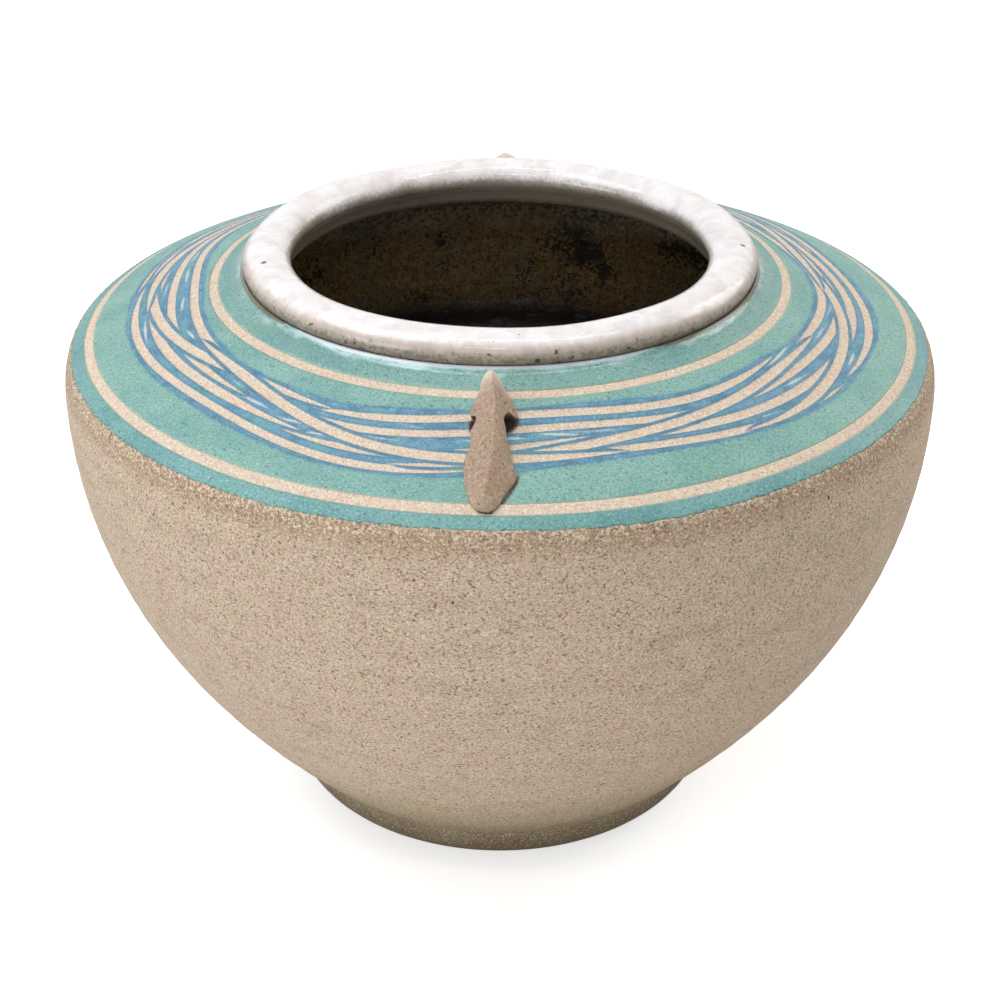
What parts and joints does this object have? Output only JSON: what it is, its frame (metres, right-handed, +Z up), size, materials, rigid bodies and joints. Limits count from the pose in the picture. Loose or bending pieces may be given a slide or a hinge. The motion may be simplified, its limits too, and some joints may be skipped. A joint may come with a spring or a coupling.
{
  "type": "two-lugged vase",
  "caption": "Squat wide-shouldered stoneware vase with a rolled rim, slip bands parted by carved rings, and small pierced lugs on the shoulder.",
  "frame": {"origin": "centre of the foot ring's underside, on the pot's axis", "axes": "+Z up along the pot's axis; the front lug lies towards -Y and the rear lug towards +Y"},
  "size_m": [0.22, 0.22, 0.154],
  "materials": {
    "stoneware": "bare gritty sand-coloured stoneware with dark iron specks",
    "lug_clay": "bare pinkish-brown stoneware, smoothed by the fingers",
    "turquoise_slip": "satin turquoise slip, glossier beside the rim",
    "braided_slip": "satin turquoise slip with a blue band and carved cream strokes",
    "teal_slip": "satin teal slip",
    "rim_glaze": "glossy pinkish-white glaze with iron spots and pinholes",
    "liner_glaze": "glossy mottled dark brown glaze"
  },
  "bodies": {
    "root": {"thrown_body": "stoneware", "rolled_rim": "stoneware", "rim_glaze": "rim_glaze", "liner_glaze": "liner_glaze", "slip_band_inner": "turquoise_slip", "slip_band_middle": "braided_slip", "slip_band_outer": "teal_slip", "front_lug": "lug_clay", "rear_lug": "lug_clay"}
  },
  "joints": []
}
